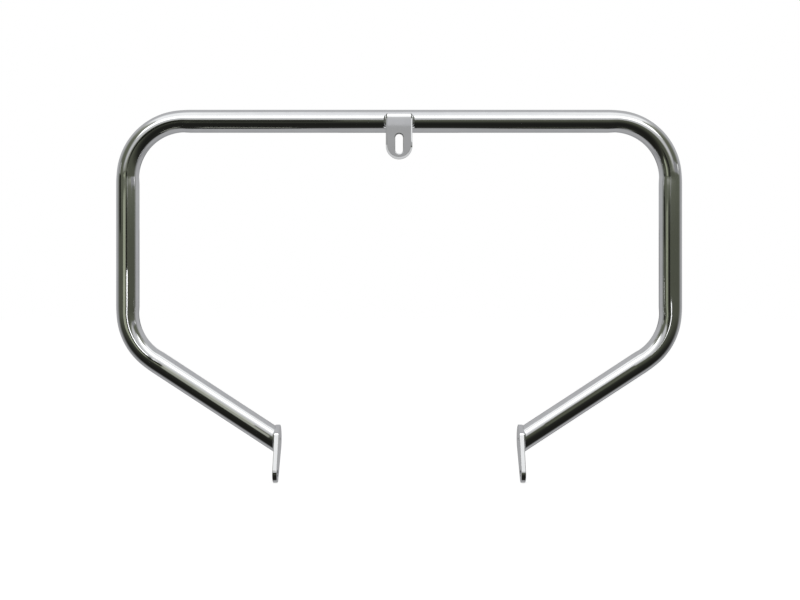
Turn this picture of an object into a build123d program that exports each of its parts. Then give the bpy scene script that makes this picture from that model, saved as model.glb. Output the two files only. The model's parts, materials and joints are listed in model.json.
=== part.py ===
"""Motorcycle crash bar: a bent steel tube with a slotted centre bracket and two bolt-on end plates.

Millimetres, seen by someone who faces the bracket: +X to their right, -Y towards them, +Z up.
The origin is the middle of the bracket's slot, on the bracket's outer face.
"""

import os
from math import atan2, cos, degrees, hypot, radians, sin, tan

from build123d import *

# Bent tube: a straight top rail, two legs and two arms that run down and inwards
tube_diameter = 31.75
tube_wall = 3.05
bend_radius = 79.5  # to the tube's centreline, the same at all four bends
leg_spacing = 759.0  # between the legs' centrelines
corner_drop = 310.0  # top rail's centreline to the meeting point of leg and arm
end_drop = 445.0  # top rail's centreline to the middle of an arm's cut end

# Centre bracket: a flat tongue whose upper end curls over the front of the top rail
bracket_width = 36.8
bracket_thickness = 6.35
curl_angle = 23.0  # how far the curl follows the rail above its middle, in degrees
saddle_gap = 0.2  # fit-up gap between the curl and the rail
slot_drop = 34.4  # top rail's centreline to the middle of the slot
slot_width = 10.5
slot_length = 27.5
tip_wall = 7.4  # steel left below the slot
bracket_edge = 1.0  # bevel of the bracket's edges
slot_edge = 0.7  # bevel of the slot's rims

# End plates: flat lugs welded across the arms' cut ends, reaching down and forwards to a bolt hole
plate_gap = 333.0  # between the plates' inner faces
plate_thickness = 6.35
head_margin = 1.65  # plate left above the arm's cut end
bolt_hole = 10.5
lug_wall = 7.45  # steel left round the bolt hole
lug_reach = 29.0  # bolt hole in front of the arm's centreline
lug_drop = 42.8  # bolt hole below the middle of the arm's end
vent_hole = 6.0  # lets plating fluid drain from the closed tube
plate_edge = 0.8  # bevel of the plates' outlines
flat_tilt = 57.5  # how far the flat ground on a plate's upper front faces up from straight ahead, in degrees
flat_margin = 0.3  # plate left between that flat and the arm's cut end

# Weld beads
bracket_bead = 3.2  # leg of the beads along the bracket's sides
bead_inset = 1.0  # bead's upper end below the curl's end, in degrees
bead_fall = 32.0  # bead's lower end below the rail's middle, in degrees
plate_bead = 3.0  # leg of the beads round the arms' ends, dressed flush with the plates' outlines

# Places that follow from the sizes above
tube_radius = tube_diameter / 2
saddle_radius = tube_radius + saddle_gap
curl_radius = saddle_radius + bracket_thickness
rail_y = curl_radius
rail_z = slot_drop
leg_x = leg_spacing / 2
corner_z = rail_z - corner_drop
end_z = rail_z - end_drop
end_x = plate_gap / 2 + plate_thickness
arm_run = leg_x - end_x
arm_fall = end_drop - corner_drop
arm_slope = atan2(arm_fall, arm_run)
tip_z = -slot_length / 2 - tip_wall
cut_half_height = tube_radius / cos(arm_slope)
head_radius = cut_half_height + head_margin
lug_radius = bolt_hole / 2 + lug_wall
flat_angle = radians(flat_tilt)
flat_reach = hypot(tube_radius * cos(flat_angle), cut_half_height * sin(flat_angle)) + flat_margin
rail_axis = Axis((0, rail_y, rail_z), (1, 0, 0))
sides = {"left": -1, "right": 1}

os.makedirs("parts", exist_ok=True)


# Tube, swept a little past both ends and then cut flush with the plates' outer faces
arm_past_end = tube_diameter
past_x = end_x - arm_past_end * cos(arm_slope)
past_z = end_z - arm_past_end * sin(arm_slope)

with BuildPart() as bar_tube:
    with BuildLine() as bar_path:
        FilletPolyline(
            (-past_x, rail_y, past_z),
            (-leg_x, rail_y, corner_z),
            (-leg_x, rail_y, rail_z),
            (leg_x, rail_y, rail_z),
            (leg_x, rail_y, corner_z),
            (past_x, rail_y, past_z),
            radius=bend_radius,
        )
    with BuildSketch(Plane(origin=bar_path.line @ 0, z_dir=bar_path.line % 0)):
        Circle(tube_radius)
        Circle(tube_radius - tube_wall, mode=Mode.SUBTRACT)
    sweep(path=bar_path.line)
    # the cut takes off both overruns: all that lies below the corners and between the plates
    with BuildSketch(Plane.XY.offset(corner_z)):
        with Locations((0, rail_y)):
            Rectangle(2 * end_x, 2 * tube_diameter)
    extrude(amount=-(arm_fall + 2 * tube_diameter), mode=Mode.SUBTRACT)

bar_tube.part.label = "bar_tube"
export_step(bar_tube.part, "parts/bar_tube.step")


# Centre bracket: bent from flat bar, round at the tip, with a slot for height adjustment
with BuildPart() as centre_bracket:
    with BuildSketch(Plane.YZ):
        with BuildLine():
            face = Line((0, tip_z), (0, rail_z))
            outer_curl = CenterArc((rail_y, rail_z), curl_radius, 180, -curl_angle)
            inner_curl = CenterArc((rail_y, rail_z), saddle_radius, 180, -curl_angle)
            Line(outer_curl @ 1, inner_curl @ 1)
            back = Line(inner_curl @ 0, (bracket_thickness, tip_z))
            Line(back @ 1, face @ 0)
        make_face()
    extrude(amount=bracket_width / 2, both=True)
    with BuildSketch(Plane.XZ):
        with Locations((0, tip_z + bracket_width / 2)):
            Circle(bracket_width / 2)
            Rectangle(bracket_width, slot_drop + 2 * curl_radius, align=(Align.CENTER, Align.MIN))
    extrude(amount=curl_radius, both=True, mode=Mode.INTERSECT)
    tangent_seams = centre_bracket.edges().filter_by(Axis.X).group_by(Axis.Z)[0]
    tip_seams = centre_bracket.edges().filter_by(Axis.Y)
    chamfer(centre_bracket.edges() - tangent_seams - tip_seams, length=bracket_edge)
    with BuildSketch(Plane.XZ):
        SlotOverall(slot_length, slot_width, rotation=90)
    extrude(amount=-bracket_thickness, mode=Mode.SUBTRACT)
    slot_rims = centre_bracket.edges(Select.LAST).group_by(Axis.Y)
    chamfer(slot_rims[0] + slot_rims[-1], length=slot_edge)

centre_bracket.part.label = "centre_bracket"
export_step(centre_bracket.part, "parts/centre_bracket.step")


# Beads that join the bracket's sides to the rail, three-cornered in section and carried round the rail
bead_start = radians(curl_angle - bead_inset)
bead_arc = curl_angle - bead_inset + bead_fall

for side, sign in sides.items():
    bead_plane = Plane(
        origin=(sign * bracket_width / 2, rail_y, rail_z),
        x_dir=(sign, 0, 0),
        z_dir=(0, -sign * sin(bead_start), -sign * cos(bead_start)),
    )
    with BuildPart() as bracket_weld:
        with BuildSketch(bead_plane):
            with BuildLine():
                Polyline(
                    (0, tube_radius),
                    (bracket_bead, tube_radius),
                    (0, tube_radius + bracket_bead),
                    close=True,
                )
            make_face()
        revolve(axis=rail_axis, revolution_arc=bead_arc)

    bracket_weld.part.label = f"centre_bracket_weld_{side}"
    export_step(bracket_weld.part, f"parts/centre_bracket_weld_{side}.step")


def lug_outline(sign, inset=0.0):
    """Draws a plate's outline in the open sketch: a round head and a round lug joined by tangents,
    less the flat ground on the head's upper front.
    """
    Circle(head_radius - inset)
    with Locations((-sign * lug_reach, -lug_drop)):
        Circle(lug_radius - inset)
    make_hull()
    flat_out = (-sign * cos(flat_angle), sin(flat_angle))
    with Locations(Vector(flat_out) * (flat_reach - inset)):
        Rectangle(
            head_radius,
            2 * head_radius,
            rotation=degrees(atan2(flat_out[1], flat_out[0])),
            align=(Align.MIN, Align.CENTER),
            mode=Mode.SUBTRACT,
        )


# End plates and the beads round the arms' mitred ends
for side, sign in sides.items():
    inner_face = Plane(
        origin=(sign * plate_gap / 2, rail_y, end_z), x_dir=(0, sign, 0), z_dir=(sign, 0, 0)
    )
    outer_face = inner_face.offset(plate_thickness)

    with BuildPart() as end_plate:
        with BuildSketch(inner_face):
            lug_outline(sign)
        extrude(amount=plate_thickness)
        chamfer(end_plate.edges().filter_by(Axis.X, reverse=True), length=plate_edge)
        with Locations(outer_face):
            Hole(vent_hole / 2)
            with Locations((-sign * lug_reach, -lug_drop)):
                Hole(bolt_hole / 2)

    end_plate.part.label = f"{side}_end_plate"
    export_step(end_plate.part, f"parts/{side}_end_plate.step")

    with BuildPart() as plate_weld:
        # a cone on the mitred end's ellipse, tall enough to run in under the arm's surface
        with BuildSketch(outer_face):
            Ellipse(tube_radius + plate_bead, cut_half_height + plate_bead)
        with BuildSketch(outer_face.offset(2 * plate_bead)):
            with Locations((0, 2 * plate_bead * tan(arm_slope))):
                Ellipse(tube_radius - plate_bead, cut_half_height - plate_bead)
        loft(ruled=True)
        with BuildSketch(outer_face):
            lug_outline(sign, inset=plate_edge)
        extrude(amount=2 * plate_bead, mode=Mode.INTERSECT)
        arm_direction = (sign * cos(arm_slope), 0, sin(arm_slope))
        with BuildSketch(Plane(origin=outer_face.origin, z_dir=arm_direction)):
            Circle(tube_radius)
        extrude(amount=2 * tube_diameter, both=True, mode=Mode.SUBTRACT)

    plate_weld.part.label = f"{side}_plate_weld"
    export_step(plate_weld.part, f"parts/{side}_plate_weld.step")
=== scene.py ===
"""Chrome crash bar for a motorcycle: the surfaces that dress its CAD frame, and the studio round them.

Metres, in the CAD frame: +X to the right of someone who faces the bracket, -Y towards them, +Z up.
"""

import json
from types import SimpleNamespace

import bmesh
import bpy
import numpy as np
from bpy.props import FloatProperty, FloatVectorProperty, PointerProperty
from bpy.types import NodeSocket, Operator, Panel, PropertyGroup
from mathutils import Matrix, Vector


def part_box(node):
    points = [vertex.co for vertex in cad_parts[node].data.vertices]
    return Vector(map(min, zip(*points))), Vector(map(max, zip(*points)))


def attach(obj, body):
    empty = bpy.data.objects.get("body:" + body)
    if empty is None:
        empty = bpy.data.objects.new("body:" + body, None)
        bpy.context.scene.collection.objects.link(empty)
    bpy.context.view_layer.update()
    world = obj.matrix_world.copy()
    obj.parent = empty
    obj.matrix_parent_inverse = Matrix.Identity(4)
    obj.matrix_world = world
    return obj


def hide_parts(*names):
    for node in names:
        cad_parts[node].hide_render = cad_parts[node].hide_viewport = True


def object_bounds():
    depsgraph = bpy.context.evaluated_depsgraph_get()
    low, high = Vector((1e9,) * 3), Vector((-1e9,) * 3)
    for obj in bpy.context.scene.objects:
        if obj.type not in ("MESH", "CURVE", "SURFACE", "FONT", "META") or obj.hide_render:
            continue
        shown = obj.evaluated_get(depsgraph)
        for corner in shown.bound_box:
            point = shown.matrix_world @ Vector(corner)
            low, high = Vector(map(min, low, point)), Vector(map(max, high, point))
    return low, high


bl_info = {
    "name": "Motorcycle Crash Bar",
    "version": (1, 0, 0),
    "blender": (4, 5, 0),
    "location": "3D View > Sidebar > Crash Bar",
    "description": "Dresses the CAD frame of a bent-tube crash bar in chrome and sets up its studio",
    "category": "Add Mesh",
}

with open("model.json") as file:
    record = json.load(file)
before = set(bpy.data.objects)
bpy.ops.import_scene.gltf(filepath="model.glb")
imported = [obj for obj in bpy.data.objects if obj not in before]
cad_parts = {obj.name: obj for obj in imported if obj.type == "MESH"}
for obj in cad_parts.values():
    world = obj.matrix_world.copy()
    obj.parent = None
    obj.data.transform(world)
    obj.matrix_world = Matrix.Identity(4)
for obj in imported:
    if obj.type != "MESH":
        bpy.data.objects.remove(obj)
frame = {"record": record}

MM = 0.001
SIDES = {"left": -1, "right": 1}
MERGE_DISTANCE = 0.0005 * MM  # points closer than this become one
SUPPORT = 0.05 * MM  # from a rounded edge to the row of points that keeps the face beside it flat


def mount(name):
    """The record's mount of that name."""
    return next(entry for entry in frame["record"]["mounts"] if entry["name"] == name)


def frame_sizes():
    """Sizes and places that the boxes of the CAD nodes and the record's mounts give."""
    tube_low, tube_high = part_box("bar_tube")
    bracket_low, bracket_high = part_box("centre_bracket")
    plate_low, plate_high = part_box("right_end_plate")
    slot = mount("centre_slot")["dims"]
    bolt = mount("right_bolt_hole")
    tube_radius = (tube_high.y - tube_low.y) / 2
    rail_y = (tube_high.y + tube_low.y) / 2
    head_radius = plate_high.y - rail_y
    end_z = plate_high.z - head_radius
    cut_half_height = end_z - tube_low.z
    slope = np.arccos(tube_radius / cut_half_height)
    leg_x = tube_high.x - tube_radius
    return SimpleNamespace(
        box=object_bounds(),
        tube_radius=tube_radius,
        rail_y=rail_y,
        rail_z=tube_high.z - tube_radius,
        leg_x=leg_x,
        end_x=plate_high.x,
        end_z=end_z,
        corner_z=end_z + (leg_x - plate_high.x) * np.tan(slope),
        slope=slope,
        cut_half_height=cut_half_height,
        bracket_half_width=(bracket_high.x - bracket_low.x) / 2,
        tip_z=bracket_low.z,
        slot_radius=slot["hole_r_mm"] * MM,
        slot_half_run=slot["slot_length_mm"] * MM / 2 - slot["hole_r_mm"] * MM,
        plate_inner_x=plate_low.x,
        plate_thickness=plate_high.x - plate_low.x,
        head_radius=head_radius,
        lug=np.array([rail_y - bolt["pos_m"][1], bolt["pos_m"][2] - end_z]),
        lug_radius=bolt["pos_m"][2] - plate_low.z,
        bolt_radius=bolt["dims"]["r_mm"] * MM,
    )


CAD = frame_sizes()


def number(name, description, default, precision=4, **kind):
    """A property that holds a number."""
    return FloatProperty(name=name, description=description, default=default, precision=precision, **kind)


def length(name, description, default):
    """A property that holds a length, given in millimetres."""
    return number(name, description, default * MM, precision=5, subtype="DISTANCE", unit="LENGTH")


def angle(name, description, default):
    """A property that holds an angle, given in degrees."""
    return number(name, description, np.radians(default), subtype="ANGLE", unit="ROTATION")


def share(name, description, default):
    """A property that holds a share from 0 to 1."""
    return number(name, description, default, min=0.0, max=1.0, subtype="FACTOR")


def colour(name, description, default):
    """A property that holds a colour."""
    return FloatVectorProperty(
        name=name, description=description, default=default, min=0.0, max=1.0, size=3, subtype="COLOR"
    )


class TubeSettings(PropertyGroup):
    """Sizes of the bent tube"""

    radius: length("Radius", "Outside radius of the tube", CAD.tube_radius / MM)
    wall: length("Wall", "Thickness of the tube's wall", 3.05)
    bend_radius: length("Bend radius", "Radius of the four bends, to the centreline", 79.5)
    flattening: share("Flattening", "How much a bend squeezes the tube in the bend's plane", 0.035)
    flattening_run: length("Flattening run", "Length over which the tube flattens", 16)
    mark_depth: length("Mark depth", "Depth of the bending die's marks", 0.16)
    mark_length: length("Mark length", "Half length of one mark along the tube", 5)
    wave_height: length("Wave height", "Unevenness that hand polishing leaves", 0.006)


class BracketSettings(PropertyGroup):
    """Sizes of the centre bracket"""

    saddle_gap: length("Saddle gap", "Gap between the bracket's curl and the rail", 0.2)
    curl_angle: angle("Curl angle", "How far the curl follows the rail above its middle", 23.0)
    bevel_inset: length("Bevel inset", "How far the bevel of the sides runs in over the front", 2.0)
    bevel_depth: length("Bevel depth", "How far that bevel runs down the side", 1.75)
    tip_bevel: length("Tip bevel", "Bevel of the round tip, over the face and down the side", 3.0)
    back_bevel: length("Back bevel", "Bevel of the back, over the face and down the side", 1.0)
    bevel_round: length("Bevel round", "Rounding of a bevel's two shoulders", 0.6)
    corner: length("Corner", "Rounding of the upper corners, seen from the front", 2.2)
    slot_edge: length("Slot edge", "Rounding of the slot's rims", 1.1)


class PlateSettings(PropertyGroup):
    """Sizes of the end plates"""

    edge: length("Edge", "Rounding of the plates' outlines", 0.8)
    corner: length("Corner", "Rounding of the ground flat's two ends", 1.2)
    hole_edge: length("Hole edge", "Rounding of the holes' rims", 0.4)
    vent_radius: length("Vent radius", "Radius of the drain hole into the tube", 3.0)
    flat_tilt: angle("Flat tilt", "How far the flat on the upper front faces up", 57.5)
    flat_margin: length("Flat margin", "Plate left between the flat and the arm's end", 0.3)


class WeldSettings(PropertyGroup):
    """Sizes of the weld beads"""

    bracket_leg: length("Bracket leg", "Leg of the beads along the bracket's sides", 3.2)
    upper_end: angle("Upper end", "Upper end of those beads, above the rail's middle", 22.0)
    lower_end: angle("Lower end", "Lower end of those beads, below the rail's middle", 32.0)
    plate_leg: length("Plate leg", "Leg of the beads round the arms' ends", 3.0)
    least_leg: length("Least leg", "Leg that grinding leaves where a plate has no room", 0.3)
    root_depth: length("Root depth", "How far a bead runs in under the faces beside it", 0.7)
    ripple_pitch: length("Ripple pitch", "From one ripple of a bead to the next", 2.2)
    ripple_height: share("Ripple height", "Height of a ripple as a share of the bead's leg", 0.05)


class FinishSettings(PropertyGroup):
    """Colours and gloss of the chrome"""

    tube_colour: colour("Tube", "Chrome on the polished tube", (0.85, 0.86, 0.87))
    plate_colour: colour("Plates", "Chrome on the flat steel", (0.82, 0.83, 0.84))
    weld_colour: colour("Welds", "Chrome over the weld beads", (0.80, 0.81, 0.82))
    haze: share("Haze", "How much darker the chrome is where it is hazy", 0.05)
    tube_roughness: share("Tube roughness", "Roughness of the polished tube", 0.08)
    plate_roughness: share("Plate roughness", "Roughness of the flat steel", 0.03)
    weld_roughness: share("Weld roughness", "Roughness of the weld beads", 0.13)


class StageSettings(PropertyGroup):
    """Floor, light and camera"""

    floor_colour: colour("Floor", "Pale floor under the bar", (0.90, 0.90, 0.90))
    sky_light: number("Sky light", "Strength of the soft light from all round", 0.35)
    floor_glow: number("Floor glow", "What lifts the unshaded floor to white", 0.70)
    softbox_radiance: number("Softbox", "Brightness of the soft lamp above the camera", 1.25)
    camera_distance: length("Camera distance", "From the camera to the tube's plane", 1500)
    camera_height: length("Camera height", "Height of the camera in the frame", -215.6)
    camera_lens: number("Lens", "Focal length, in millimetres", 48.24)
    camera_shift: number("Shift", "Sideways shift that frames the bar", 0.0011)


class CrashBarSettings(PropertyGroup):
    """All settings of the crash bar"""

    tube: PointerProperty(type=TubeSettings)
    bracket: PointerProperty(type=BracketSettings)
    plate: PointerProperty(type=PlateSettings)
    weld: PointerProperty(type=WeldSettings)
    finish: PointerProperty(type=FinishSettings)
    stage: PointerProperty(type=StageSettings)


# Surfaces


def add_object(name, data):
    """A new object in the scene."""
    made = bpy.data.objects.new(name, data)
    bpy.context.scene.collection.objects.link(made)
    return made


def grid_of(x, y, z):
    """Points of a grid from their coordinates, each given for its rows, its columns or both."""
    return np.stack(np.broadcast_arrays(x, y, z), axis=-1)


def unit(vectors):
    """Vectors of length 1 in the same directions."""
    return vectors / np.linalg.norm(vectors, axis=1, keepdims=True)


def grid_quads(rows, columns, ring_rows, ring_columns):
    """Quads of a grid: each joins a point, the next row's, that one's neighbour and its own neighbour."""
    row = np.arange(rows if ring_rows else rows - 1)[:, None]
    column = np.arange(columns if ring_columns else columns - 1)[None, :]
    next_row = (row + 1) % rows
    next_column = (column + 1) % columns
    corners = np.broadcast_arrays(
        row * columns + column,
        next_row * columns + column,
        next_row * columns + next_column,
        row * columns + next_column,
    )
    return np.stack(corners, axis=-1).reshape(-1, 4)


def surface(name, patches, attributes=None):
    """An object made of patches (points[rows, columns, 3], ring of rows, ring of columns).

    Points that coincide become one, which closes seams and poles, and faces point outwards.
    """
    points = np.concatenate([patch[0].reshape(-1, 3) for patch in patches])
    starts = np.cumsum([0] + [patch[0][..., 0].size for patch in patches])
    quads = np.concatenate(
        [start + grid_quads(*grid.shape[:2], *rings) for start, (grid, *rings) in zip(starts, patches)]
    )
    mesh = bpy.data.meshes.new(name)
    mesh.vertices.add(len(points))
    mesh.vertices.foreach_set("co", points.astype(np.float32).ravel())
    mesh.loops.add(quads.size)
    mesh.loops.foreach_set("vertex_index", quads.astype(np.int32).ravel())
    mesh.polygons.add(len(quads))
    mesh.polygons.foreach_set("loop_start", np.arange(0, quads.size, 4, dtype=np.int32))
    mesh.polygons.foreach_set("use_smooth", np.ones(len(quads), dtype=bool))
    for label, values in (attributes or {}).items():
        layer = mesh.attributes.new(label, "FLOAT_VECTOR", "POINT")
        layer.data.foreach_set("vector", values.astype(np.float32).ravel())
    mesh.update(calc_edges=True)
    work = bmesh.new()
    work.from_mesh(mesh)
    bmesh.ops.remove_doubles(work, verts=work.verts, dist=MERGE_DISTANCE)
    bmesh.ops.recalc_face_normals(work, faces=work.faces)
    work.to_mesh(mesh)
    work.free()
    return add_object(name, mesh)


def smooth(value):
    """0 below 0, 1 above 1, and 3t^2 - 2t^3 between."""
    value = np.clip(value, 0.0, 1.0)
    return value * value * (3.0 - 2.0 * value)


def direction(turned):
    """(cos, sin) of an angle or of each angle in an array."""
    return np.stack([np.cos(turned), np.sin(turned)], axis=-1)


def trace(arcs, samples=240):
    """Points and outward normals of an outline made of arcs joined by their common tangents.

    An arc is (centre, radius, first angle, last angle). Its normals are (cos, sin) of the angle, and its
    points are the centre plus the radius times the normal.
    """
    normals = [direction(np.linspace(first, last, samples)) for _, _, first, last in arcs]
    points = [np.asarray(centre) + radius * normal for (centre, radius, _, _), normal in zip(arcs, normals)]
    return np.concatenate(points), np.concatenate(normals)


def spaced(points, normals, count, turn_length):
    """Count points of an outline, evenly spaced by length plus turn_length for each radian of turn."""
    step, turn = (np.linalg.norm(np.diff(values, axis=0), axis=1) for values in (points, normals))
    place = np.concatenate([[0.0], np.cumsum(step + turn_length * turn)])
    wanted = np.linspace(0.0, place[-1], count)
    both = np.concatenate([points, normals], axis=1)
    picked = np.stack([np.interp(wanted, place, values) for values in both.T], axis=1)
    return picked[:, :2], unit(picked[:, 2:])


def rim_rows(edge, thickness, steps=6):
    """Inset and depth of the rows round a plate's edge: a quarter round, the side and a quarter round."""
    turned = np.linspace(0.0, np.pi / 2, steps + 1)
    inset = edge * (1.0 - np.sin(turned))
    depth = edge * (1.0 - np.cos(turned))
    side = np.array([edge + SUPPORT, thickness - edge - SUPPORT])
    return (
        np.concatenate([inset, np.zeros(2), inset[::-1]]),
        np.concatenate([depth, side, thickness - depth[::-1]]),
    )


def bevel_rows(inset, depth, rounding, steps=4):
    """Inset and depth of the rows down a bevelled edge, for a bevel whose inset and depth vary by column:
    a round shoulder, the bevel's flat, the other shoulder and the start of the side.

    A shoulder turns from the face to the bevel, or from the bevel to the side, at the rounding's radius,
    and its tangents meet at the rounding times the tangent of half the turn.
    """
    lean = np.arctan2(depth, inset)
    rest = np.pi / 2 - lean
    turned = np.linspace(0.0, 1.0, steps)[:, None]
    first = turned * lean
    second = lean + turned * rest
    side_starts = depth + rounding * np.tan(rest / 2)
    face_shoulder = np.stack(
        [inset + rounding * (np.tan(lean / 2) - np.sin(first)), rounding * (1.0 - np.cos(first))]
    )
    side_shoulder = np.stack([rounding * (1.0 - np.sin(second)), side_starts - rounding * np.cos(second)])
    bevel_starts = face_shoulder[:, -1]
    bevel = side_shoulder[:, 0] - bevel_starts
    close = SUPPORT / np.hypot(*bevel)
    flat = np.stack([bevel_starts + bevel * close, bevel_starts + bevel * (1.0 - close)], axis=1)
    side = np.stack([0.0 * depth, side_starts + SUPPORT])[:, None]
    return np.concatenate([face_shoulder, flat, side_shoulder, side], axis=1)


def face_rows(count, span):
    """Shares of the way across a face, with a row close to each end; the ends belong to the rims."""
    close = SUPPORT / span
    return np.concatenate([[close], np.linspace(0.0, 1.0, count + 2)[1:-1], [1.0 - close]])


# Bent tube

SPREAD = 0.4  # share of a bend's flattening that widens the tube across the bend
MARK_AT_SIDES = 0.5  # share of a die's mark on the tube's two sides
MARK_GAIN = 0.7  # what the share gains towards the inside of the bend
WAVE_LENGTHS = (9.7 * MM, 16.3 * MM, 5.9 * MM)  # of the polishing waves, for one radian
WAVE_SWAYS = (2.0, 3.0)  # radians by which the first two sway on the way round the tube
WAVE_START = 0.6  # where the first one's sway begins, in radians


def bar_path(s, run_step=4 * MM, bend_step=1.6 * MM):
    """Centreline of the bar in the XZ plane, from the left arm's end to the right arm's.

    The heading keeps still on the runs and turns evenly with length on the bends, and the points are the
    running sum of steps along it. Also gives the lengths at which the runs and bends begin and end.
    """
    right = np.array([(CAD.leg_x, CAD.rail_z), (CAD.leg_x, CAD.corner_z), (CAD.end_x, CAD.end_z)])
    corners = np.concatenate([right[::-1] * (-1, 1), right])
    legs = np.diff(corners, axis=0)
    spans = np.hypot(*legs.T)
    headings = np.unwrap(np.arctan2(legs[:, 1], legs[:, 0]))
    turns = np.diff(headings)
    setback = s.bend_radius * np.tan(np.abs(turns) / 2)
    runs = spans - np.append(setback, 0.0) - np.insert(setback, 0, 0.0)
    bends = s.bend_radius * np.abs(turns)
    parts = np.insert(runs[1:], np.arange(4), bends)
    knots = np.concatenate([[0.0], np.cumsum(np.insert(parts, 0, runs[0]))])
    steps = np.where(np.arange(len(knots) - 1) % 2, bend_step, run_step)
    counts = np.ceil(np.diff(knots) / steps).astype(int)
    pieces = [np.linspace(*ends, count, endpoint=False) for *ends, count in zip(knots, knots[1:], counts)]
    along = np.unique(np.concatenate(pieces + [[SUPPORT, knots[-1] - SUPPORT, knots[-1]]]))
    heading = np.interp(along, knots, np.repeat(headings, 2))
    middle = (heading[1:] + heading[:-1]) / 2
    strides = np.diff(along)[:, None] * direction(middle)
    points = corners[0] + np.concatenate([np.zeros((1, 2)), np.cumsum(strides, axis=0)])
    return along, points, direction(heading), knots


def tube_shape(s, along, knots, around):
    """Radius of the tube in the bend's plane and across it, over its length and round it.

    A bend squeezes the tube in its plane and spreads it a little across. The bending die leaves a
    bell-shaped mark at both ends of each bend, deepest on the inside, and polishing leaves long low waves.
    """
    bend_starts, bend_ends = knots[1:-1:2], knots[2:-1:2]
    inside = np.minimum(along[:, None] - bend_starts, bend_ends - along[:, None]).max(axis=1)
    bent = smooth(inside / s.flattening_run + 0.5)[:, None]
    offset = (along[:, None] - knots[1:-1]) / s.mark_length
    mark = smooth(MARK_AT_SIDES - MARK_GAIN * np.cos(around))
    marked = np.exp(-offset * offset).sum(axis=1)[:, None] * mark
    phases = (WAVE_SWAYS[0] * np.sin(around + WAVE_START), WAVE_SWAYS[1] * np.cos(2.0 * around), around)
    waves = sum(np.sin(along[:, None] / wave + phase) for wave, phase in zip(WAVE_LENGTHS, phases))
    change = s.wave_height * waves / len(WAVE_LENGTHS) - s.mark_depth * marked
    in_plane = s.radius * (1.0 - s.flattening * bent) + change
    across = s.radius * (1.0 + SPREAD * s.flattening * bent) + change
    return in_plane, across


def tube_grid(s, path, around, thinner):
    """Rings round the bar's path: the centre, plus the radius times cos along the bend's outer normal,
    plus the radius times sin along Y. On the arms each lengthwise line is stretched to meet the plate.
    """
    along, points, tangents, knots = path
    normals = np.stack([-tangents[:, 1], tangents[:, 0]], axis=1)
    in_plane, across = tube_shape(s, along, knots, around)
    rise = (in_plane - thinner) * np.cos(around)
    flat = points[:, None, :] + rise[..., None] * normals[:, None, :]
    depth = CAD.rail_y + (across - thinner) * np.sin(around)
    to_start = np.clip((knots[1] - along) / knots[1], 0.0, 1.0)
    to_end = np.clip((along - knots[-2]) / (knots[-1] - knots[-2]), 0.0, 1.0)
    on_arm = (to_start + to_end)[:, None]
    slide = -rise * (normals[:, :1] / tangents[:, :1]) * on_arm
    flat = flat + np.where(on_arm[..., None] > 0.0, slide[..., None] * tangents[:, None, :], 0.0)
    unbent = grid_of(along[:, None], rise, depth - CAD.rail_y)
    return grid_of(flat[..., 0], depth, flat[..., 1]), unbent


def tube_surface(s, columns=80, inside_step=4):
    """The tube as a ring of rows: along the outside, over one cut end, back inside, over the other."""
    path = bar_path(s)
    around = np.linspace(0.0, 2.0 * np.pi, columns, endpoint=False)[None, :]
    outside = tube_grid(s, path, around, 0.0)
    inside = tube_grid(s, path, around, s.wall)
    points, unbent = (
        np.concatenate([there, back[::-inside_step], back[:1]]) for there, back in zip(outside, inside)
    )
    return surface("polished_tube", [(points, True, True)], {"unbent": unbent})


# Centre bracket


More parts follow.
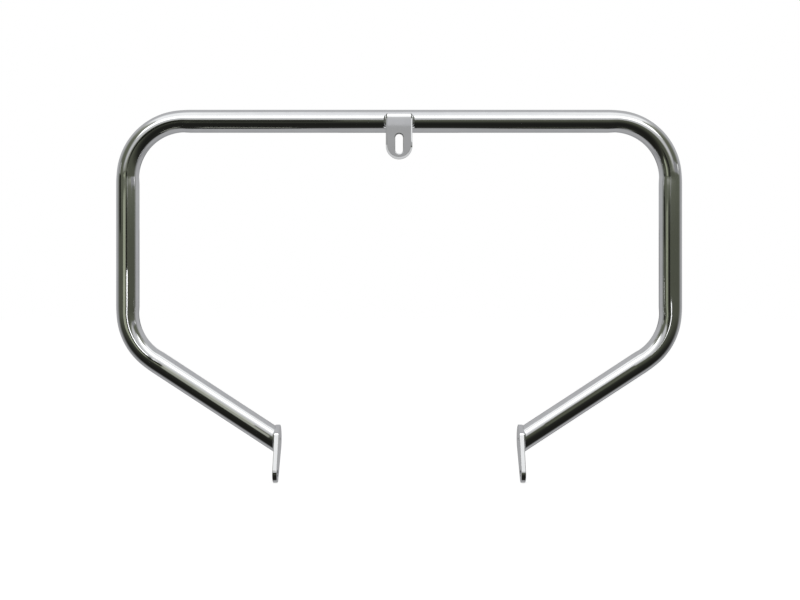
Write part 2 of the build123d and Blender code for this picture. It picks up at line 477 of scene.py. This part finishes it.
def bracket_surface(s, columns=300, face_count=26, turn_length=8 * MM):
    """The bracket as a closed ring of rows: front face, outer edge, back face and the slot's wall.

    Seen from the front, each column joins a point of the outline to the nearest point of the slot. Above
    the rail's middle the flat shape is wound round the rail: its height there becomes an angle about the
    rail's axis, and its depth takes from the radius.
    """
    thickness = CAD.rail_y - CAD.tube_radius - s.saddle_gap
    half_width = CAD.bracket_half_width
    corner_x = half_width - s.corner
    corner_z = CAD.rail_z + CAD.rail_y * s.curl_angle - s.corner
    quarter = np.pi / 2
    arcs = [
        ((corner_x, corner_z), s.corner, 0.0, quarter),
        ((-corner_x, corner_z), s.corner, quarter, 2 * quarter),
        ((0.0, CAD.tip_z + half_width), half_width, 2 * quarter, 4 * quarter),
        ((corner_x, corner_z), s.corner, 0.0, 0.0),
    ]
    outline, outward = (values[:-1] for values in spaced(*trace(arcs), columns + 1, turn_length))
    centre_z = np.clip(outline[:, 1], -CAD.slot_half_run, CAD.slot_half_run)
    centre = np.stack([np.zeros(columns), centre_z], axis=1)
    away = unit(outline - centre)
    slot = centre + CAD.slot_radius * away

    across = face_rows(face_count, half_width)
    downward = np.maximum(-outward[:, 1], 0.0)
    bevel_inset = s.bevel_inset + (s.tip_bevel - s.bevel_inset) * downward
    bevel_depth = s.bevel_depth + (s.tip_bevel - s.bevel_depth) * downward
    back_bevel = np.full(columns, s.back_bevel)
    front_inset, front_depth = bevel_rows(bevel_inset, bevel_depth, s.bevel_round)
    back_inset, back_depth = bevel_rows(back_bevel, back_bevel, s.bevel_round)
    edge_inset = np.concatenate([front_inset, back_inset[::-1]])
    edge_depth = np.concatenate([front_depth, thickness - back_depth[::-1]])
    slot_inset, slot_depth = (rows[:, None] for rows in rim_rows(s.slot_edge, thickness))
    face = np.ones((len(across), columns))
    edge = np.ones_like(edge_inset)
    wall = np.ones((len(slot_inset), columns))
    face_share = across[:, None] * face
    share_out = np.concatenate([face_share, edge, face_share[::-1], 0.0 * wall])[..., None]
    inset_out = np.concatenate(
        [edge_inset[0] * face, edge_inset, edge_inset[-1] * face, edge_inset[0] * wall]
    )
    inset_in = np.full_like(inset_out, s.slot_edge)
    inset_in[-len(wall):] = slot_inset
    depth = np.concatenate([0.0 * face, edge_depth, thickness * face, slot_depth[::-1] * wall])
    at_slot = slot + inset_in[..., None] * away
    at_outline = outline - inset_out[..., None] * outward
    flat = (1.0 - share_out) * at_slot + share_out * at_outline

    height = flat[..., 1]
    turned = np.maximum(height - CAD.rail_z, 0.0) / CAD.rail_y
    reach = CAD.rail_y - depth
    grid = grid_of(
        flat[..., 0],
        CAD.rail_y - reach * np.cos(turned),
        np.minimum(height, CAD.rail_z) + reach * np.sin(turned),
    )
    return surface("polished_bracket", [(grid, True, True)])


# End plates, drawn in (forwards, up) about the middle of the arm's end


def plate_outline(s):
    """Facts of an end plate's outline: a round head and a round lug, their common tangents, and a flat.

    The tangents' normals stand to both sides of the line from head to lug, by the angle whose cosine is
    the difference of the radii over the distance. The flat lies just outside the arm's cut end.
    """
    apart = np.hypot(*CAD.lug)
    lean = np.arccos((CAD.head_radius - CAD.lug_radius) / apart)
    downward = np.arctan2(CAD.lug[1], CAD.lug[0])
    cut = np.array([CAD.tube_radius, CAD.cut_half_height]) * direction(s.flat_tilt)
    reach = np.hypot(*cut) + s.flat_margin
    half_flat = np.arccos((reach - s.corner) / (CAD.head_radius - s.corner))
    return SimpleNamespace(
        front=downward + lean,
        back=downward - lean + 2 * np.pi,
        flat_reach=reach,
        flat_starts=s.flat_tilt - half_flat,
        flat_ends=s.flat_tilt + half_flat,
    )


def plate_half(
    s, arcs, ends, hole_centre, hole_radius, columns, chord_columns=24, face_count=10, turn_length=5 * MM
):
    """Patches of one half of a plate, cut across its middle: a ring from face to face through the hole,
    and the rim. Each column runs straight from the hole's middle to a point of the outline or of the cut.
    """
    points, normals = trace(arcs)
    start, finish = ends
    points = np.concatenate([start[:1], points, finish[:1]])
    normals = np.concatenate([start[1:], normals, finish[1:]])
    outline, outward = spaced(points, normals, columns, turn_length)
    face_edge = outline - s.edge * outward
    cut = np.linspace(0.0, 1.0, chord_columns + 2)[1:-1, None]
    contour = np.concatenate([face_edge, face_edge[-1] + cut * (face_edge[0] - face_edge[-1])])
    away = unit(contour - hole_centre)
    hole = hole_centre + hole_radius * away

    across = np.append(face_rows(face_count, hole_radius), 1.0)
    wall_inset, wall_depth = rim_rows(s.hole_edge, CAD.plate_thickness)
    share_out = np.concatenate([across[::-1], 0.0 * wall_inset, across])[:, None, None]
    face_inset = np.full(len(across), s.hole_edge)
    inset = np.concatenate([face_inset, wall_inset, face_inset])[:, None, None]
    depth = np.concatenate([0.0 * across, wall_depth, CAD.plate_thickness + 0.0 * across])
    faces = (1.0 - share_out) * (hole + inset * away) + share_out * contour
    rim_inset, rim_depth = rim_rows(s.edge, CAD.plate_thickness)
    rim = outline - rim_inset[:, None, None] * outward
    return (faces, depth, True), (rim, rim_depth, False)


def plate_point(sign, flat, depth):
    """Plate coordinates in the frame: forwards is -Y, up is Z, and depth runs from the inner face out."""
    x = sign * (CAD.plate_inner_x + depth)[:, None]
    return grid_of(x, CAD.rail_y - flat[..., 0], CAD.end_z + flat[..., 1])


def plate_surface(side, sign, s):
    """An end plate: its head with the drain hole and its lug with the bolt hole, joined at the middle."""
    o = plate_outline(s)
    head = np.zeros(2)
    shoulder = CAD.head_radius - s.corner
    radii = CAD.head_radius + CAD.lug_radius
    front_end, back_end = (
        np.stack([(CAD.lug + radii * direction(normal)) / 2, direction(normal)])
        for normal in (o.front, o.back)
    )
    head_arcs = [
        (head, CAD.head_radius, o.front, o.flat_starts),
        (shoulder * direction(o.flat_starts), s.corner, o.flat_starts, s.flat_tilt),
        (shoulder * direction(o.flat_ends), s.corner, s.flat_tilt, o.flat_ends),
        (head, CAD.head_radius, o.flat_ends, o.back),
    ]
    lug_arcs = [(CAD.lug, CAD.lug_radius, o.back, o.front + 2 * np.pi)]
    patches = plate_half(s, head_arcs, (front_end, back_end), head, s.vent_radius, columns=150)
    patches += plate_half(s, lug_arcs, (back_end, front_end), CAD.lug, CAD.bolt_radius, columns=100)
    grids = [(plate_point(sign, flat, depth), False, ring) for flat, depth, ring in patches]
    return surface(f"polished_{side}_plate", grids)


# Weld beads

RIPPLE_LEAN = 1.2  # radians that a ripple gains from one toe of a bead to the other
RIPPLE_MEAN = 0.64  # mean of the crescents, taken off so that a bead keeps its size
LEAST_FACING = 0.05  # a plate's edge that a bead faces less than this leaves it free


def bead_rows(count=14, fullness=1.25):
    """Shares of both legs along a bead's skin: cos and sin of a quarter turn, to the power of fullness."""
    turned = np.linspace(0.0, np.pi / 2, count)
    return np.cos(turned) ** fullness, np.sin(turned) ** fullness


def ripples(s, place, skin):
    """Scale of a bead's legs along it: a low crescent each ripple pitch, fading out towards both toes."""
    phase = 2.0 * np.pi * place / s.ripple_pitch
    crescent = np.abs(np.sin(phase / 2 + RIPPLE_LEAN * skin)) - RIPPLE_MEAN
    return 1.0 + s.ripple_height * crescent * np.sin(np.pi * skin)


def plate_bead_surface(side, sign, s, plate, columns=300, blend=4):
    """The bead round an arm's end, on the ellipse where the arm's mitred end meets the plate.

    A point of its skin is the ellipse, plus the plate's leg along the ellipse's normal, plus the arm's
    leg along the arm. The legs shrink where the plate's outline leaves little room, and blend with those
    beside them.
    """
    o = plate_outline(plate)
    turned = np.linspace(0.0, 2.0 * np.pi, columns, endpoint=False)
    half_axes = np.array([CAD.tube_radius, CAD.cut_half_height])
    ellipse = half_axes * direction(turned)
    normal = unit(direction(turned) / half_axes)

    room_radius = CAD.head_radius - plate.edge
    toward = np.sum(ellipse * normal, axis=1)
    to_round = np.sqrt(toward**2 - np.sum(ellipse**2, axis=1) + room_radius**2) - toward
    edges = direction(np.array([o.front, o.back, plate.flat_tilt]))
    reaches = np.array([room_radius, room_radius, o.flat_reach - plate.edge])
    facing = normal @ edges.T
    ahead = (reaches - ellipse @ edges.T) / np.maximum(facing, LEAST_FACING)
    to_lines = np.where(facing > LEAST_FACING, ahead, np.inf)
    heading = np.arctan2(ellipse[:, 1], ellipse[:, 0]) % (2.0 * np.pi)
    on_head = (heading > o.front) & (heading < o.back)
    room = np.where(on_head, np.minimum(to_round, to_lines[:, 2]), to_lines[:, :2].min(axis=1))
    leg = np.clip(room, s.least_leg, s.plate_leg)
    leg = np.stack([np.roll(leg, step) for step in range(-blend, blend + 1)]).mean(axis=0)

    along_plate, along_arm = bead_rows()
    skin = np.linspace(0.0, 1.0, len(along_plate))[:, None]
    place = np.cumsum(np.linalg.norm(np.diff(ellipse, axis=0, append=ellipse[:1]), axis=1))
    place *= round(place[-1] / s.ripple_pitch) * s.ripple_pitch / place[-1]
    scale = ripples(s, place, skin) * leg
    none = np.zeros(columns)
    sunk = none - s.root_depth
    out = np.concatenate([[leg], along_plate[:, None] * scale, [sunk], [sunk]])
    up_arm = np.concatenate([[none], along_arm[:, None] * scale, [leg], [none]])
    in_plate = np.concatenate([[sunk], 0.0 * scale, [none], [sunk]])
    flat = ellipse + out[..., None] * normal
    grid = grid_of(
        sign * (CAD.end_x + in_plate + up_arm * np.cos(CAD.slope)),
        CAD.rail_y - flat[..., 0],
        CAD.end_z + flat[..., 1] + up_arm * np.sin(CAD.slope),
    )
    return surface(f"{side}_plate_bead", [(grid, True, True)])


def bracket_bead_surface(side, sign, s, rows=90):
    """The bead along one side of the bracket, wound round the rail.

    A point of its skin is the corner between rail and bracket, plus one leg along X and the other away
    from the rail's axis. Both legs follow a quarter ellipse to nothing at the bead's two ends.
    """
    turned = np.linspace(-s.lower_end, s.upper_end, rows)
    place = CAD.tube_radius * (turned - turned[0])
    to_end = np.minimum(place, place[-1] - place) / s.bracket_leg
    taper = np.sqrt(1.0 - (1.0 - np.clip(to_end, 0.0, 1.0)) ** 2)
    along_rail, along_side = bead_rows()
    skin = np.linspace(0.0, 1.0, len(along_rail))
    scale = s.bracket_leg * taper[:, None] * ripples(s, place[:, None], skin)
    sunk = -s.root_depth * taper[:, None]
    out = np.concatenate([along_rail * scale, sunk, sunk], axis=1)
    away = np.concatenate([along_side * scale, s.bracket_leg * taper[:, None], sunk], axis=1)
    radius = CAD.tube_radius + away
    grid = grid_of(
        sign * (CAD.bracket_half_width + out),
        CAD.rail_y - radius * np.cos(turned)[:, None],
        CAD.rail_z + radius * np.sin(turned)[:, None],
    )
    return surface(f"{side}_bracket_bead", [(grid, False, True)])


# Chrome

CLOUD_SCALE = 38.0  # hazy patches in a metre
SPECK_SCALE = 420.0  # specks in a metre
SPECK_SHARE = 1 / 3  # of the roughness's spread
WELD_HAZE = 6.0  # how many times as hazy as the rest the welds are
# Chrome of each slot: the spread of its roughness, and its grain's scale, stretch and height
GRAINS = {
    "tube_chrome": (0.015, 260.0, (0.05, 1.0, 1.0), 0.004 * MM),
    "plate_chrome": (0.012, 700.0, (1.0, 1.0, 0.25), 0.001 * MM),
    "weld_chrome": (0.04, 900.0, (1.0, 1.0, 1.0), 0.05 * MM),
}


def feed(socket, value):
    """Links another node's output to a socket, or sets the socket to a plain value."""
    if isinstance(value, NodeSocket):
        socket.id_data.links.new(value, socket)
    else:
        socket.default_value = value


def new_node(tree, kind, **values):
    """A node with values fed to its sockets (by name, spaces as underscores) or set on itself."""
    made = tree.nodes.new(kind)
    for label, value in values.items():
        socket = made.inputs.get(label.replace("_", " "))
        if socket is None:
            setattr(made, label, value)
        else:
            feed(socket, value)
    return made


def maths(tree, operation, *terms, clamp=False):
    """Result of a maths node on its terms, which are outputs or numbers."""
    made = new_node(tree, "ShaderNodeMath", operation=operation, use_clamp=clamp)
    for socket, term in zip(made.inputs, terms):
        feed(socket, term)
    return made.outputs["Value"]


def mixed(tree, factor, first, second):
    """Colour between two colours, by a factor."""
    made = new_node(tree, "ShaderNodeMix", data_type="RGBA")
    for label, value in (("Factor", factor), ("A", first), ("B", second)):
        feed(made.inputs[label], value)
    return made.outputs["Result"]


def noise(tree, vector, scale, stretch=(1.0, 1.0, 1.0), detail=3.0):
    """Factor of a noise texture on stretched coordinates."""
    place = new_node(tree, "ShaderNodeMapping", Vector=vector, Scale=stretch).outputs["Vector"]
    made = new_node(tree, "ShaderNodeTexNoise", Vector=place, Scale=scale, Detail=detail, Roughness=0.55)
    return made.outputs["Fac"]


def ranged(tree, factor, low, high, start=0.35, end=0.65):
    """Factor carried from its usual range to low and high."""
    made = new_node(
        tree, "ShaderNodeMapRange", Value=factor, From_Min=start, From_Max=end, To_Min=low, To_Max=high
    )
    return made.outputs["Result"]


def chrome(name, bright, haze, roughness, vector_name, spread, grain_scale, grain_stretch, grain_height):
    """Chrome plating: a metal whose colour dulls and whose gloss softens in cloudy patches, over the fine
    grain that polishing leaves.
    """
    material = bpy.data.materials.new(name)
    material.use_nodes = True
    tree = material.node_tree
    if vector_name:
        vector = new_node(tree, "ShaderNodeAttribute", attribute_name=vector_name).outputs["Vector"]
    else:
        vector = new_node(tree, "ShaderNodeTexCoord").outputs["Object"]
    clouds = noise(tree, vector, CLOUD_SCALE)
    specks = noise(tree, vector, SPECK_SCALE, detail=2.0)
    dull = np.array(bright) * (1.0 - haze)
    tint = mixed(tree, ranged(tree, clouds, 0.0, 1.0), (*bright, 1.0), (*dull, 1.0))
    patchy = ranged(tree, clouds, roughness - spread, roughness + spread)
    specked = ranged(tree, specks, -spread * SPECK_SHARE, spread * SPECK_SHARE)
    grain = noise(tree, vector, grain_scale, grain_stretch, detail=4.0)
    bump = new_node(tree, "ShaderNodeBump", Strength=1.0, Distance=grain_height, Height=grain)
    shader = tree.nodes["Principled BSDF"].inputs
    shader["Metallic"].default_value = 1.0
    feed(shader["Base Color"], tint)
    feed(shader["Roughness"], maths(tree, "ADD", patchy, specked))
    feed(shader["Normal"], bump.outputs["Normal"])
    return material


def finish_for(slot):
    """The material of a record's slot, made the first time that a piece asks for it.

    The tube is mirror chrome with faint polishing lines along it, drawn on it as it was before bending. The
    flat steel was ground but not polished to a mirror, and the welds are hazy.
    """
    made = bpy.data.materials.get(f"polished_{slot}")
    if made is None:
        s = bpy.context.scene.crash_bar.finish
        looks = {
            "tube_chrome": (s.tube_colour, s.haze, s.tube_roughness, "unbent"),
            "plate_chrome": (s.plate_colour, s.haze, s.plate_roughness, None),
            "weld_chrome": (s.weld_colour, WELD_HAZE * s.haze, s.weld_roughness, None),
        }
        made = chrome(f"polished_{slot}", *looks[slot], *GRAINS[slot])
    return made


def dress(piece, node, slot):
    """Gives a piece its material, puts it on the body and lets it stand for its CAD node."""
    piece.data.materials.append(finish_for(slot))
    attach(piece, "root")
    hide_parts(node)


# Stage

# Tints of what the chrome reflects
NEUTRAL = (1.0, 1.0, 1.0)
OLIVE = (0.98, 1.0, 0.86)
MOSS = (0.94, 1.0, 0.74)
COOL = (0.98, 0.98, 1.0)
# Tones of the tent by elevation: degrees above level, tone and tint
LOW_TONES = (
    (-90.0, 0.40, NEUTRAL), (-84.0, 0.28, NEUTRAL), (-78.0, 0.02, OLIVE), (-40.0, 0.013, OLIVE),
    (-25.0, 0.02, OLIVE), (-14.0, 0.05, MOSS), (-6.0, 0.085, MOSS), (1.0, 0.09, MOSS), (5.0, 0.12, MOSS),
)
HIGH_TONES = ((56.0, 1.0, NEUTRAL), (65.0, 0.90, COOL), (80.0, 0.88, COOL), (90.0, 0.80, COOL))
FRONT_TONES = (
    *LOW_TONES, (7.5, 0.36, OLIVE), (9.0, 0.40, NEUTRAL), (9.1, 0.57, COOL), (20.0, 0.62, NEUTRAL),
    (24.5, 1.0, NEUTRAL), *HIGH_TONES,
)
SIDE_TONES = (*LOW_TONES, (30.0, 0.14, MOSS), (42.0, 0.30, OLIVE), (50.0, 1.0, NEUTRAL), *HIGH_TONES)
BACK_TONES = (
    (-90.0, 0.40, NEUTRAL), (-45.0, 0.42, COOL), (-30.0, 0.32, COOL), (-15.0, 0.40, COOL),
    (20.0, 0.48, COOL), (57.0, 0.50, COOL), (75.0, 0.54, COOL), (85.0, 0.64, COOL), (90.0, 0.80, COOL),
)
# Parts of a level direction, sideways and backwards, over which the front's tones give way to others
BESIDE = (0.58, 0.78)
BEHIND = (-0.17, 0.34)
# Cards that show in reflections alone: a corner, the side along, the side up, the tone and the tint
CARDS = {
    # olive and dark stripes down the legs
    "pale_card": ((-1.12, -1.08, -0.40), (0.56, 0, 0), (0, 0, 0.45), 0.37, MOSS),
    "dark_card": ((-0.74, -2.05, -0.40), (0.54, 0, 0), (0, 0, 0.52), 0.012, OLIVE),
    # bright gleams low on the left leg and the right
    "low_gleam": ((-0.37, -0.1604, -0.1705), (0.0205, 0, 0), (0.005, -0.0679, -0.0791), 2.6, NEUTRAL),
    "right_gleam": ((0.356, -0.2014, -0.2183), (0.0205, 0, 0), (-0.002, -0.0228, -0.0266), 2.0, NEUTRAL),
    # olive bands along the left arm, with a soft upper edge, and along the right
    "arm_card": ((-0.357, -0.093, -0.323), (0.160, 0, -0.102), (0.023, 0, 0.034), 0.36, OLIVE),
    "soft_arm_card": ((-0.334, -0.093, -0.289), (0.1365, 0, -0.087), (0.0115, 0, 0.017), 0.58, OLIVE),
    "dim_arm_card": ((0.357, -0.093, -0.323), (-0.135, 0, -0.0861), (-0.036, 0, 0.053), 0.10, MOSS),
    # the bracket's right edge, bright above and dim below, and a patch high on the left leg
    "window_card": ((1.96, -0.42, 0.30), (0.11, 0.33, 0), (0, 0, 0.14), 1.0, NEUTRAL),
    "sill_card": ((1.90, -0.60, 0.20), (0.20, 0.60, 0), (0, 0, 0.10), 0.40, NEUTRAL),
    "patch_card": ((1.50, -1.80, 0.20), (0.40, 1.20, 0), (0, 0, 0.24), 0.28, COOL),
    # a dark line down the outside of the left leg, and the bracket's left edge
    "shade_card": ((-1.90, -0.90, -0.02), (0, 0.62, 0), (0, 0, 0.19), 0.012, OLIVE),
    "edge_card": ((-1.90, -0.42, 0.20), (0, 0.34, 0), (0, 0, 0.24), 0.40, NEUTRAL),
    # the upper part of the bracket's face, and the bracket's back
    "face_card": ((-0.06, -2.00, 0.12), (0.12, 0, 0), (0, 0, 0.231), 0.405, NEUTRAL),
    "back_card": ((-0.15, 1.20, -0.30), (0.30, 0, 0), (0, 0, 0.26), 0.12, NEUTRAL),
}
FLOOR_SIDE = 24.0
SENSOR_WIDTH = 36.0  # millimetres


def bare_material(name):
    """A material that shows nothing yet, with its node tree and its output's socket."""
    material = bpy.data.materials.new(name)
    material.use_nodes = True
    tree = material.node_tree
    tree.nodes.remove(tree.nodes["Principled BSDF"])
    return material, tree, tree.nodes["Material Output"].inputs["Surface"]


def glow(name):
    """A material that only shines, with its node tree and its emission's colour socket."""
    material, tree, output = bare_material(name)
    emission = tree.nodes.new("ShaderNodeEmission")
    feed(output, emission.outputs["Emission"])
    return material, tree, emission.inputs["Color"]


def seen_directly(tree):
    """1 for rays from the camera and for reflected or refracted ones, 0 for light that falls on things."""
    path = tree.nodes.new("ShaderNodeLightPath").outputs
    bounced = maths(tree, "ADD", path["Is Glossy Ray"], path["Is Transmission Ray"])
    return maths(tree, "ADD", path["Is Camera Ray"], bounced, clamp=True)


def elevation_ramp(tree, elevation, stops):
    """Colour by elevation, from stops (degrees, tone, tint)."""
    ramp = new_node(tree, "ShaderNodeValToRGB", Fac=elevation)
    elements = ramp.color_ramp.elements
    while len(elements) < len(stops):
        elements.new(1.0)
    for element, (degrees, tone, tint) in zip(elements, stops):
        element.position = (degrees + 90.0) / 180.0
        element.color = (*(tone * np.array(tint)), 1.0)
    return ramp.outputs["Color"]


def surround_surface(radius=3.2, front_rim=25.0, back_rim=122.0, columns=96, rows=64):
    """A tent round the bar that its chrome reflects, with a wide window high up in front.

    A point is the radius times the direction of an azimuth and an elevation. The elevation runs evenly
    from straight down to the rim, whose height follows the cosine of the azimuth and passes over the top
    at the back.
    """
    azimuth = np.linspace(0.0, 2.0 * np.pi, columns, endpoint=False)[None, :]
    rim = front_rim + (back_rim - front_rim) * (1.0 - np.cos(azimuth)) / 2
    elevation = np.radians(-90.0 + np.linspace(0.0, 1.0, rows)[:, None] * (rim + 90.0))
    ground = radius * np.cos(elevation)
    grid = grid_of(ground * np.sin(azimuth), -ground * np.cos(azimuth), radius * np.sin(elevation))
    return surface("surround", [(grid, False, True)])


def surround_tones():
    """Tone by direction: dark in front and beside up to about level, grey behind, and white above."""
    material, tree, shown = glow("surround_tones")
    place = new_node(tree, "ShaderNodeTexCoord").outputs["Object"]
    aim = new_node(tree, "ShaderNodeVectorMath", operation="NORMALIZE", Vector=place)
    split = new_node(tree, "ShaderNodeSeparateXYZ", Vector=aim.outputs["Vector"]).outputs
    elevation = ranged(tree, maths(tree, "ARCSINE", split["Z"]), 0.0, 1.0, -np.pi / 2, np.pi / 2)
    level = new_node(tree, "ShaderNodeCombineXYZ", X=split["X"], Y=split["Y"])
    flat = new_node(tree, "ShaderNodeVectorMath", operation="NORMALIZE", Vector=level.outputs["Vector"])
    bearing = new_node(tree, "ShaderNodeSeparateXYZ", Vector=flat.outputs["Vector"]).outputs
    beside = ranged(tree, maths(tree, "ABSOLUTE", bearing["X"]), 0.0, 1.0, *BESIDE)
    behind = ranged(tree, bearing["Y"], 0.0, 1.0, *BEHIND)
    tones = elevation_ramp(tree, elevation, FRONT_TONES)
    tones = mixed(tree, beside, tones, elevation_ramp(tree, elevation, SIDE_TONES))
    tones = mixed(tree, behind, tones, elevation_ramp(tree, elevation, BACK_TONES))
    feed(shown, tones)
    return material


def card_surface(name, corner, along, up):
    """A flat card: its corner, plus a share of the way along, plus a share of the way up."""
    ends = np.array([0.0, 1.0])
    grid = np.array(corner) + ends[None, :, None] * np.array(along) + ends[:, None, None] * np.array(up)
    return surface(name, [(grid, False, False)])


def trough_surface(name, radius, ends, front, back, columns=25):
    """A trough under the bracket's round tip: the tip's middle, plus the radius times (sin, -cos) of an
    angle, drawn out from front to back.
    """
    turned = np.radians(np.linspace(*ends, columns))[None, :]
    depth = np.array([front, back])[:, None]
    middle = CAD.tip_z + CAD.bracket_half_width
    grid = grid_of(radius * np.sin(turned), depth, middle - radius * np.cos(turned))
    return surface(name, [(grid, False, False)])


def reflected_only(thing):
    """Shows a stage object in reflections alone."""
    for rays in ("camera", "diffuse", "transmission", "volume_scatter", "shadow"):
        setattr(thing, f"visible_{rays}", False)


def shine(card, tone, tint):
    """Gives a card one tone and shows it in reflections alone."""
    material, _, shown = glow(card.name)
    shown.default_value = (*(tone * np.array(tint)), 1.0)
    card.data.materials.append(material)
    reflected_only(card)


def make_surround():
    """The tent, and the cards and the trough that draw stripes, gleams and edges in the chrome."""
    surround = surround_surface()
    surround.data.materials.append(surround_tones())
    reflected_only(surround)
    for name, (corner, along, up, tone, tint) in CARDS.items():
        shine(card_surface(name, corner, along, up), tone, tint)
    trough = trough_surface("tip_trough", radius=0.0215, ends=(-95.0, 84.0), front=-0.006, back=0.006)
    shine(trough, tone=0.70, tint=NEUTRAL)


def make_floor(s):
    """A pale floor under the lowest point, lit to white where nothing shades it."""
    corner = (-FLOOR_SIDE / 2, -FLOOR_SIDE / 2, CAD.box[0].z)
    floor = card_surface("floor", corner, (FLOOR_SIDE, 0, 0), (0, FLOOR_SIDE, 0))
    material, tree, output = bare_material("floor")
    matt = new_node(tree, "ShaderNodeBsdfDiffuse", Color=(*s.floor_colour, 1.0))
    strength = maths(tree, "MULTIPLY", seen_directly(tree), s.floor_glow)
    emission = new_node(tree, "ShaderNodeEmission", Strength=strength)
    both = tree.nodes.new("ShaderNodeAddShader")
    feed(both.inputs[0], matt.outputs["BSDF"])
    feed(both.inputs[1], emission.outputs["Emission"])
    feed(output, both.outputs["Shader"])
    floor.data.materials.append(material)
    floor.visible_glossy = False


def make_world(s):
    """White all round for what is seen, and softer for the light that it gives."""
    world = bpy.data.worlds.new("studio")
    world.use_nodes = True
    tree = world.node_tree
    background = tree.nodes["Background"].inputs
    background["Color"].default_value = (1.0, 1.0, 1.0, 1.0)
    feed(background["Strength"], ranged(tree, seen_directly(tree), s.sky_light, 1.0, 0.0, 1.0))
    bpy.context.scene.world = world


def make_softbox(s, width=2.4, height=0.33, distance=1.2, elevation=np.radians(36.5)):
    """A wide soft lamp above the camera, turned to the top rail."""
    data = bpy.data.lights.new("softbox", "AREA")
    data.shape = "RECTANGLE"
    data.size = width
    data.size_y = height
    data.energy = s.softbox_radiance * np.pi * width * height
    softbox = add_object("softbox", data)
    forwards, up = distance * direction(elevation)
    softbox.location = (0.0, CAD.rail_y - forwards, CAD.rail_z + up)
    softbox.rotation_euler = (np.pi / 2 - elevation, 0.0, 0.0)
    softbox.visible_camera = False


def make_camera(s):
    """A level camera in front of the bar, looking along +Y."""
    data = bpy.data.cameras.new("camera")
    data.sensor_fit = "HORIZONTAL"
    data.sensor_width = SENSOR_WIDTH
    data.lens = s.camera_lens
    data.shift_x = s.camera_shift
    camera = add_object("camera", data)
    camera.location = (0.0, CAD.rail_y - s.camera_distance, s.camera_height)
    camera.rotation_euler = (np.pi / 2, 0.0, 0.0)
    bpy.context.scene.camera = camera


# Operators


class CRASHBAR_OT_tube(Operator):
    """Makes the bent tube's polished surface"""

    bl_idname = "crash_bar.tube"
    bl_label = "Bent Tube"

    def execute(self, context):
        dress(tube_surface(context.scene.crash_bar.tube), "bar_tube", "tube_chrome")
        return {"FINISHED"}


class CRASHBAR_OT_bracket(Operator):
    """Makes the slotted centre bracket's surface"""

    bl_idname = "crash_bar.bracket"
    bl_label = "Centre Bracket"

    def execute(self, context):
        dress(bracket_surface(context.scene.crash_bar.bracket), "centre_bracket", "plate_chrome")
        return {"FINISHED"}


class CRASHBAR_OT_plates(Operator):
    """Makes the two end plates' surfaces"""

    bl_idname = "crash_bar.plates"
    bl_label = "End Plates"

    def execute(self, context):
        for side, sign in SIDES.items():
            piece = plate_surface(side, sign, context.scene.crash_bar.plate)
            dress(piece, f"{side}_end_plate", "plate_chrome")
        return {"FINISHED"}


class CRASHBAR_OT_bracket_beads(Operator):
    """Makes the weld beads along the bracket's sides"""

    bl_idname = "crash_bar.bracket_beads"
    bl_label = "Bracket Beads"

    def execute(self, context):
        for side, sign in SIDES.items():
            piece = bracket_bead_surface(side, sign, context.scene.crash_bar.weld)
            dress(piece, f"centre_bracket_weld_{side}", "weld_chrome")
        return {"FINISHED"}


class CRASHBAR_OT_plate_beads(Operator):
    """Makes the weld beads round the arms' ends"""

    bl_idname = "crash_bar.plate_beads"
    bl_label = "Plate Beads"

    def execute(self, context):
        settings = context.scene.crash_bar
        for side, sign in SIDES.items():
            piece = plate_bead_surface(side, sign, settings.weld, settings.plate)
            dress(piece, f"{side}_plate_weld", "weld_chrome")
        return {"FINISHED"}


class CRASHBAR_OT_stage(Operator):
    """Sets up the floor, the light and the camera"""

    bl_idname = "crash_bar.stage"
    bl_label = "Stage"

    def execute(self, context):
        settings = context.scene.crash_bar.stage
        context.scene.view_settings.view_transform = "Standard"
        make_world(settings)
        make_floor(settings)
        make_surround()
        make_softbox(settings)
        make_camera(settings)
        return {"FINISHED"}


class CRASHBAR_PT_sidebar(Panel):
    """Lists the crash bar's operators and settings"""

    bl_idname = "CRASHBAR_PT_sidebar"
    bl_label = "Crash Bar"
    bl_space_type = "VIEW_3D"
    bl_region_type = "UI"
    bl_category = "Crash Bar"

    def draw(self, context):
        for operator in OPERATORS:
            self.layout.operator(operator.bl_idname)
        settings = context.scene.crash_bar
        for group in CrashBarSettings.__annotations__:
            box = self.layout.box()
            box.label(text=group.title())
            values = getattr(settings, group)
            for name in type(values).__annotations__:
                box.prop(values, name)


SETTINGS = (
    TubeSettings, BracketSettings, PlateSettings, WeldSettings, FinishSettings, StageSettings,
    CrashBarSettings,
)
OPERATORS = (
    CRASHBAR_OT_tube, CRASHBAR_OT_bracket, CRASHBAR_OT_plates, CRASHBAR_OT_bracket_beads,
    CRASHBAR_OT_plate_beads, CRASHBAR_OT_stage,
)
CLASSES = (*SETTINGS, *OPERATORS, CRASHBAR_PT_sidebar)


def register():
    """Registers the classes and hangs the settings on the scene."""
    for item in CLASSES:
        bpy.utils.register_class(item)
    bpy.types.Scene.crash_bar = PointerProperty(type=CrashBarSettings)


def unregister():
    """Takes the settings off the scene and unregisters the classes."""
    del bpy.types.Scene.crash_bar
    for item in reversed(CLASSES):
        bpy.utils.unregister_class(item)


def main():
    """Makes every piece and the stage."""
    register()
    bpy.ops.crash_bar.tube()
    bpy.ops.crash_bar.bracket()
    bpy.ops.crash_bar.plates()
    bpy.ops.crash_bar.bracket_beads()
    bpy.ops.crash_bar.plate_beads()
    bpy.ops.crash_bar.stage()


if __name__ == "__main__":
    main()
